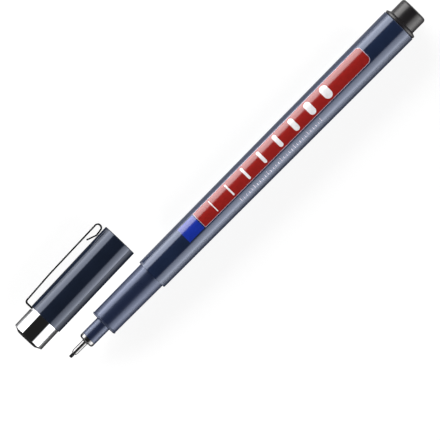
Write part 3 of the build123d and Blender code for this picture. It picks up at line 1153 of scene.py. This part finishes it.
@dataclass
class CapCrown:
    """The bright ring at the cap's closed end and the black bevelled end that holds it on."""

    axis: LongAxis
    ring_radius: float = 4.8 * MM
    ring_cone: float = 0.17 * MM
    ring_cone_drop: float = 0.1 * MM
    ring_edge: float = 0.06 * MM
    end_front_radius: float = 3.05 * MM
    end_rim_radius: float = 4.5 * MM
    end_rounding: float = 0.12 * MM
    notch_start: float = 6.753 * MM

    def build(self) -> None:
        """Turn the ring and the end, notch the ring for the clip, and place and dress both."""
        ring = turn("bright_ring", self.ring(), Ends.SLEEVE)
        half, over = CAP.slot_half_width, CAP.slot_overshoot
        low = Vector((0, -half, self.notch_start))
        cut_slot(ring, low, Vector((self.ring_radius + over, half, CAP.tube_start + over)))
        end = turn("cap_end", self.end(), Ends.PLUG)
        dress(ring, self.axis, RING_CHROME, "cap", "cap_ferrule")
        dress(end, self.axis, END_BLACK, "cap", "cap_end_plug")

    def ring(self) -> list[Ring]:
        """Return the profile of the ring, which is open behind and has a floor in front."""
        neck_bore, spigot_bore = CAP.neck_radius + PRESS_GAP, CAP.spigot_radius + PRESS_GAP
        return [
            Ring(CAP.rim, neck_bore),
            Ring(CAP.rim, self.ring_radius - self.ring_cone_drop),
            Ring(CAP.rim + self.ring_cone, self.ring_radius),
            Ring(CAP.tube_start, self.ring_radius, self.ring_edge),
            Ring(CAP.tube_start, spigot_bore),
            Ring(CAP.spigot_start, spigot_bore),
            Ring(CAP.spigot_start, neck_bore),
        ]

    def end(self) -> list[Ring]:
        """Return the profile of the bevelled end, its neck and its stem."""
        return [
            Ring(0.0, self.end_front_radius, self.end_rounding),
            Ring(CAP.rim, self.end_rim_radius),
            Ring(CAP.rim, CAP.neck_radius),
            Ring(CAP.spigot_start, CAP.neck_radius),
            Ring(CAP.spigot_start, CAP.stem_radius),
            Ring(CAP.stem_end, CAP.stem_radius),
        ]


@dataclass(frozen=True)
class Corner:
    """A corner of the clip's route.

    Attributes:
        station: Place along the cap's axis.
        reach: Distance from the axis, towards the cap's far side.
        bend: Radius of the bend there.
    """

    station: float
    reach: float
    bend: float = 0.0


@dataclass
class Clip:
    """One bent spring strip: a foot, a leg, a long rise, a curl and a flared free end."""

    axis: LongAxis
    width: float = 3.4 * MM
    thickness: float = 0.46 * MM
    edge_round: float = 0.04 * MM
    foot: Corner = Corner(4.79 * MM, 3.5852 * MM)
    heel: Corner = Corner(7.19 * MM, 3.5852 * MM, 0.3 * MM)
    leg_top: Corner = Corner(7.19 * MM, 7.05 * MM, 0.75 * MM)
    knee: Corner = Corner(16.69 * MM, 7.445 * MM, 25.0 * MM)
    curl_top: Corner = Corner(35.72 * MM, 7.525 * MM, 0.88 * MM)
    curl_foot: Corner = Corner(35.72 * MM, 5.765 * MM, 0.88 * MM)
    touch: Corner = Corner(33.15 * MM, 5.4334 * MM, 1.2 * MM)
    free_end: Corner = Corner(30.4 * MM, 6.5 * MM)
    steps_per_turn: int = 64

    def build(self) -> None:
        """Draw the strip along its route, and place and dress it."""
        route = [self.foot, self.heel, self.leg_top, self.knee]
        route += [self.curl_top, self.curl_foot, self.touch, self.free_end]
        points = [Vector((corner.reach, 0, corner.station)) for corner in route]
        strip = self.start_strip(points[0])
        here = points[0]
        for index in range(1, len(points)):
            way = (points[index] - points[index - 1]).normalized()
            onward = way
            if index + 1 < len(points):
                onward = (points[index + 1] - points[index]).normalized()
            swing, radius = way.angle(onward), route[index].bend
            bend_start = points[index] - way * radius * math.tan(swing / 2)
            bpy.ops.mesh.extrude_region_move(TRANSFORM_OT_translate={"value": bend_start - here})
            here = bend_start
            if swing > 0:
                hinge = way.cross(onward).normalized()
                centre = here + hinge.cross(way) * radius
                self.bend(centre, hinge, swing)
                here = centre + Matrix.Rotation(swing, 3, hinge) @ (here - centre)
        bpy.ops.mesh.select_all(action="SELECT")
        bpy.ops.mesh.remove_doubles(threshold=CLOSE / 10)
        bpy.ops.mesh.normals_make_consistent(inside=False)
        bpy.ops.object.mode_set(mode="OBJECT")
        dress(strip, self.axis, CLIP_CHROME, "clip", "clip")

    def start_strip(self, foot: Vector) -> Piece:
        """Make the strip's end face, with rounded corners, at the foot."""
        strip = start_piece("spring_clip", bpy.ops.mesh.primitive_plane_add, size=1)
        bpy.ops.transform.resize(value=(self.thickness, self.width, 1))
        bpy.ops.transform.translate(value=foot)
        bpy.ops.mesh.select_mode(type="FACE")
        bpy.ops.mesh.bevel(offset=self.edge_round, segments=4, affect="VERTICES")
        bpy.ops.mesh.select_all(action="SELECT")
        return strip

    def bend(self, centre: Vector, hinge: Vector, swing: float) -> None:
        """Bend the strip's open end on round a centre.

        Args:
            centre: The middle of the bend.
            hinge: The direction that the bend turns about.
            swing: How far it turns.
        """
        steps = max(2, round(self.steps_per_turn * swing / (2 * math.pi)))
        bpy.ops.mesh.spin(steps=steps, angle=-swing, center=centre, axis=hinge)


@dataclass(frozen=True)
class ShadeCard:
    """A dark card on the floor that only gloss shows: painted shade, a contact shadow seen in reflections.

    Attributes:
        name: Its name.
        low: Its lowest corner.
        high: Its highest corner.
        fades: How far its borders fade, at its low and high X and its low and high Y.
        opacity: How much of the floor it hides in reflections with its painted shade, from 0 to 1.
    """

    name: str
    low: Point
    high: Point
    fades: tuple[float, float, float, float]
    opacity: float = 1.0


@dataclass(frozen=True)
class PaintedHighlightStrip:
    """A glowing strip that stands between the pen and the cap and only gloss shows: a painted highlight on
    their flanks, as if each were lit alone.

    Attributes:
        name: Its name.
        ends: Its low and high X.
        side: -1 where it faces the pen, 1 where it faces the cap.
        foot: The height where its light starts to grow.
        top: The height of its top edge.
        peak: How bright it is at its top edge, where 1 is white.
    """

    name: str
    ends: Point
    side: int
    foot: float
    top: float
    peak: float


@dataclass(frozen=True)
class SoftBox:
    """A long soft box beside the pen, which is brighter towards the floor.

    Attributes:
        name: Its name.
        side: 1 on the cap's side, -1 on the other.
        span: Its top edge and its foot, as angles from straight up.
        levels: How bright it is near its top and at its foot, where 1 is white.
        hot: How much brighter its middle is than its ends, as a share.
        foot: The share of its level that is left where it fades at its foot.
    """

    name: str
    side: int
    span: Point
    levels: Point
    hot: float
    foot: float = 1.0


@dataclass
class Studio:
    """The pale floor, dark cards of painted shade and glowing strips of painted highlight that only gloss
    shows, two soft boxes, the dim room and the camera above.
    """

    pen_axis: LongAxis
    cap_axis: LongAxis
    floor_size: float = 12.0
    floor_colour: Colour = (0.3, 0.3, 0.3)
    floor_shades: Point = (0.99, 1.01)
    floor_mottle: float = 40.0
    floor_roughness: float = 0.2
    floor_glow: float = 0.81
    box_distance: float = 1.6
    box_length: float = 2.4
    box_edge_share: float = 0.16
    box_foot_share: float = 0.15
    box_middle: float = 0.11
    cap_side_box: SoftBox = SoftBox(
        "soft_box_cap_side",
        side=1,
        span=(math.radians(44.5), math.radians(93)),
        levels=(4.7, 6.6),
        hot=0.2,
    )
    far_side_box: SoftBox = SoftBox(
        "soft_box_far_side",
        side=-1,
        span=(math.radians(36.5), math.radians(93)),
        levels=(1.7, 4.9),
        hot=0.6,
        foot=0.3,
    )
    shade_card_margin: float = 16 * MM
    shade_card_wide_fade: float = 12 * MM
    shade_card_narrow_fade: float = 5 * MM
    shade_card_sharp_fade: float = 1.25 * MM
    shade_card_lift: float = 0.01 * MM
    # Painted shade: the colour of the dark cards that only gloss shows
    painted_shade_colour: Colour = (0.12, 0.12, 0.12)
    shade_card_roughness: float = 0.9
    cap_shade_card_share: float = 0.6
    nib_shade_card_reach: float = 55 * MM
    nib_shade_card_end: float = 6.6 * MM
    # How fast the painted highlight of the strips grows towards their top
    painted_highlight_growth: float = 2.5
    room_levels: Point = (0.1, 0.025)
    room_fade: float = 0.6
    pale_fade: Point = (0.12, 0.35)
    photo_pixels: int = 440
    pixels_per_mm: float = 3.75
    camera_distance: float = 2.0
    camera_turn: float = math.radians(-45.26)
    aim: Vector = field(default_factory=lambda: Vector((-8.71, -10.1925, 5.0)) * MM)

    def build(self) -> None:
        """Build the floor, the cards of painted shade, the strips of painted highlight, the lights, the
        room and the camera.
        """
        self.build_floor()
        for index, card in enumerate(self.shade_cards(), 1):
            self.build_shade_card(card, index * self.shade_card_lift)
        for strip in self.painted_highlight_strips():
            self.build_painted_highlight_strip(strip)
        self.let_pass(self.build_box(self.cap_side_box), [*DRESSED["cap"], *DRESSED["clip"]])
        self.let_pass(self.build_box(self.far_side_box), DRESSED["pen"])
        self.build_room()
        self.build_camera()

    def build_floor(self) -> None:
        """Lay a pale floor that shows white to the camera and keeps the pen's shadow."""
        bpy.ops.object.select_all(action="DESELECT")
        bpy.ops.mesh.primitive_plane_add(size=self.floor_size)
        floor = bpy.context.object
        floor.name = "floor"
        coat = Coat("floor_pale")
        mottle = coat.node("TexNoise", Vector=coat.place, Scale=self.floor_mottle, Detail=2.0)
        coat.feed(
            Base_Color=coat.mottled(mottle.outputs["Fac"], self.floor_colour, self.floor_shades),
            Roughness=self.floor_roughness,
            Emission_Color=WHITE,
            Emission_Strength=coat.math("MULTIPLY", coat.seen_or_mirrored(), self.floor_glow),
        )
        floor.data.materials.append(coat.material)

    def shade_cards(self) -> list[ShadeCard]:
        """Return the cards of painted shade: at the pen's far side, at its cap side, at the clip and
        before the nib.
        """
        low, high = (Vector(corner).xy for corner in CAD_BOX)
        pen_y, cap_y = self.pen_axis.start.y, self.cap_axis.start.y
        tube, mouth = self.cap_axis.at(CAP.tube_start).x, self.cap_axis.at(CAP.length).x
        nib, reach, margin = self.pen_axis.at(self.nib_shade_card_end).x, self.nib_shade_card_reach, self.shade_card_margin
        left, right, near, far = low.x - margin, high.x + margin, low.y - margin, high.y + margin
        wide, narrow, sharp = self.shade_card_wide_fade, self.shade_card_narrow_fade, self.shade_card_sharp_fade
        return [
            ShadeCard("far_shade_card", (tube, near), (right, pen_y), (sharp, wide, wide, narrow)),
            ShadeCard("cap_shade_card", (left, pen_y), (right, far), (wide, wide, narrow, wide), self.cap_shade_card_share),
            ShadeCard(
                "clip_shade_card", (tube - narrow, cap_y), (mouth + narrow, far), (narrow, narrow, narrow, wide)
            ),
            ShadeCard(
                "nib_shade_card",
                (low.x - reach, pen_y - reach),
                (nib, cap_y + 2 * narrow),
                (reach / 2, sharp, reach, narrow),
            ),
        ]

    def stage_plane(
        self, name: str, size: Sequence[float], middle: Sequence[float], tilt: float = 0.0
    ) -> Piece:
        """Make a plane of the stage, tilted about X, at its size and place.

        Args:
            name: The plane's name.
            size: Its size along each axis of the frame.
            middle: Where its middle lies.
            tilt: The angle that it is turned by about X.

        Returns:
            The plane, in object mode.
        """
        plane = start_piece(name, bpy.ops.mesh.primitive_plane_add, size=1, rotation=(tilt, 0, 0))
        bpy.ops.transform.resize(value=size)
        bpy.ops.transform.translate(value=middle)
        bpy.ops.object.mode_set(mode="OBJECT")
        bpy.ops.object.transform_apply(rotation=True)
        return plane

    def build_shade_card(self, card: ShadeCard, lift: float) -> None:
        """Lay a dark card with faded borders on the floor, which only gloss shows: painted shade in
        reflections, like a contact shadow.

        Args:
            card: The card.
            lift: How high it lies.
        """
        low, high = Vector(card.low), Vector(card.high)
        plane = self.stage_plane(card.name, (*(high - low), 1), (*(low + high) / 2, lift))
        coat = Coat(f"{card.name}_dark")
        where = coat.node("SeparateXYZ", Vector=coat.place).outputs
        painted_shade_cover = card.opacity
        for index, axis in enumerate("XY"):
            low_fade, high_fade = card.fades[2 * index : 2 * index + 2]
            rise = coat.spread(where[axis], 0.0, 1.0, low[index], low[index] + low_fade)
            fall = coat.spread(where[axis], 1.0, 0.0, high[index] - high_fade, high[index])
            painted_shade_cover = coat.math("MULTIPLY", coat.math("MULTIPLY", rise, fall), painted_shade_cover)
        # Painted shade: a dark sheet, fading at its borders, that darkens the floor in reflections
        coat.feed(Base_Color=(*self.painted_shade_colour, 1.0), Roughness=self.shade_card_roughness, Alpha=painted_shade_cover)
        plane.data.materials.append(coat.material)
        self.show_in_gloss_only(plane)

    def painted_highlight_strips(self) -> list[PaintedHighlightStrip]:
        """Return the strips of painted highlight: beside the nib's holder, beside the section and before
        the cap.
        """
        nose, section = self.pen_axis.at(PEN.nose_start).x, self.pen_axis.at(PEN.section_start).x
        tube, mouth = self.cap_axis.at(CAP.tube_start).x, self.cap_axis.at(CAP.length).x
        return [
            PaintedHighlightStrip("holder_painted_highlight", (nose, section), -1, foot=0.5 * MM, top=6.6 * MM, peak=5.0),
            PaintedHighlightStrip("section_painted_highlight", (section, mouth), -1, foot=2.0 * MM, top=8.3 * MM, peak=4.5),
            PaintedHighlightStrip("cap_painted_highlight", (tube, mouth), 1, foot=4.5 * MM, top=8.5 * MM, peak=2.8),
        ]

    def build_painted_highlight_strip(self, strip: PaintedHighlightStrip) -> None:
        """Stand a glowing strip midway between the pen and the cap, which only gloss shows, from one side:
        a painted highlight on the flank that it faces.

        Args:
            strip: The strip.
        """
        low, high = strip.ends
        middle_y = (self.pen_axis.start.y + self.cap_axis.start.y) / 2
        size, middle = (high - low, 1, strip.top), ((low + high) / 2, middle_y, strip.top / 2)
        plane = self.stage_plane(strip.name, size, middle, -strip.side * math.pi / 2)
        coat = Coat(f"{strip.name}_pale")
        where = coat.node("SeparateXYZ", Vector=coat.place).outputs
        height = coat.spread(where["Z"], 0.0, 1.0, strip.foot, strip.top)
        grown = coat.math("POWER", height, self.painted_highlight_growth)
        back = coat.node("NewGeometry").outputs["Backfacing"]
        # Painted highlight: the strip glows, brighter towards its top, though it is no lamp
        coat.feed(
            Base_Color=BLACK,
            Specular_IOR_Level=0.0,
            Emission_Color=WHITE,
            Emission_Strength=coat.math("MULTIPLY", grown, strip.peak),
            Alpha=coat.math("SUBTRACT", 1.0, back),
        )
        plane.data.materials.append(coat.material)
        self.show_in_gloss_only(plane)

    def show_in_gloss_only(self, plane: Piece) -> None:
        """Hide a plane of the stage from all but mirrored rays."""
        for ray in ("camera", "diffuse", "transmission", "shadow"):
            setattr(plane, f"visible_{ray}", False)

    def let_pass(self, box: bpy.types.Object, pieces: list[Piece]) -> None:
        """Light the pen and the cap as if each were lit alone.

        Args:
            box: A soft box.
            pieces: The pieces nearest to it, which don't keep its light from the others.
        """
        passed = bpy.data.collections.new(f"{box.name}_passes")
        for piece in pieces:
            passed.objects.link(piece)
        box.light_linking.blocker_collection = passed
        for entry in passed.collection_objects:
            entry.light_linking.link_state = "EXCLUDE"

    def build_box(self, box: SoftBox) -> bpy.types.Object:
        """Hang one long soft box, which fades out at its top.

        Args:
            box: The soft box.

        Returns:
            The light.
        """
        light = bpy.data.lights.new(box.name, "AREA")
        light.shape = "RECTANGLE"
        top, foot = box.span
        angle, half_spread = (top + foot) / 2, (foot - top) / 2
        light.size = 2 * self.box_distance * math.tan(half_spread)
        light.size_y = self.box_length
        # At this power a level of 1 shows as white
        light.energy = math.pi * light.size * light.size_y
        light.use_nodes = True
        shader = Shader(light.node_tree)
        parametric = shader.node("NewGeometry").outputs["Parametric"]
        where = shader.node("SeparateXYZ", Vector=parametric).outputs
        down, along = where["X"], where["Y"]
        level = shader.spread(down, *box.levels)
        edge = shader.spread(down, 0.0, 1.0, 0.0, self.box_edge_share)
        fade = shader.spread(down, 1.0, box.foot, 1.0 - self.box_foot_share, 1.0)
        off_middle = shader.math("ABSOLUTE", shader.math("SUBTRACT", along, 0.5))
        middle = shader.spread(off_middle, 1.0 + box.hot, 1.0, 0.0, self.box_middle / self.box_length)
        for share in (edge, fade, middle):
            level = shader.math("MULTIPLY", level, share)
        glow = shader.node("Emission", Strength=level)
        shader.node("OutputLight", Surface=glow.outputs[0])
        lamp = bpy.data.objects.new(box.name, light)
        bpy.context.scene.collection.objects.link(lamp)
        away = Vector((0, box.side * math.sin(angle), math.cos(angle)))
        lamp.location = away * self.box_distance
        level_way = Vector((-box.side, 0, 0))
        turned = Matrix((level_way.cross(away), level_way, away)).transposed()
        lamp.rotation_mode = "QUATERNION"
        lamp.rotation_quaternion = turned.to_quaternion()
        lamp.visible_camera = False
        return lamp

    def build_room(self) -> None:
        """Make the room dim, and where it is seen, as pale at the horizon as the floor."""
        world = bpy.data.worlds.new("room")
        bpy.context.scene.world = world
        world.use_nodes = True
        shader = Shader(world.node_tree)
        way = shader.node("TexCoord").outputs["Generated"]
        height = shader.node("SeparateXYZ", Vector=way).outputs["Z"]
        level = shader.spread(height, *self.room_levels, 0.0, self.room_fade)
        pale = shader.spread(height, 1.0, 0.0, *self.pale_fade)
        level = shader.math("MAXIMUM", level, shader.math("MULTIPLY", shader.seen_or_mirrored(), pale))
        back = shader.node("Background", Color=WHITE, Strength=level)
        shader.node("OutputWorld", Surface=back.outputs[0])

    def build_camera(self) -> None:
        """Set the camera straight above, with a long lens, turned as in the photograph."""
        frame_width = self.photo_pixels / self.pixels_per_mm * MM
        camera = bpy.data.cameras.new("camera")
        camera.lens = camera.sensor_width * self.camera_distance / frame_width
        holder = bpy.data.objects.new("camera", camera)
        bpy.context.scene.collection.objects.link(holder)
        holder.location = self.aim + Vector((0, 0, self.camera_distance))
        holder.rotation_euler = (0, 0, self.camera_turn)
        bpy.context.scene.camera = holder


def dress_inner_nodes() -> None:
    """Give the CAD nodes that stay, the ink core and its film, their finishes."""
    for node, finish in (("ink_reservoir", CORE_FIBRE), ("reservoir_film", FILM_WHITE)):
        solid = frame["nodes"][node]
        solid.data.materials.clear()
        solid.data.materials.append(material_of(finish))
        LOG.info("%s keeps its CAD shape", node)


def main() -> None:
    """Build the pen, the cap, the clip and the studio in order."""
    logging.basicConfig(level=logging.INFO, format="%(name)s: %(message)s")
    bpy.context.scene.view_settings.view_transform = "Standard"
    pen_axis = LongAxis.from_mount("writing_point", 0.0, -1)
    cap_axis = LongAxis.from_mount("cap_mouth", CAP.bore_middle, 1)
    for assembly in (
        WritingEnd(pen_axis),
        GripSection(pen_axis),
        Barrel(pen_axis),
        RearPlug(pen_axis),
        Cap(cap_axis),
        CapCrown(cap_axis),
        Clip(cap_axis),
        Studio(pen_axis, cap_axis),
    ):
        LOG.info("building %s", type(assembly).__name__)
        assembly.build()
    dress_inner_nodes()


if __name__ == "__main__":
    main()
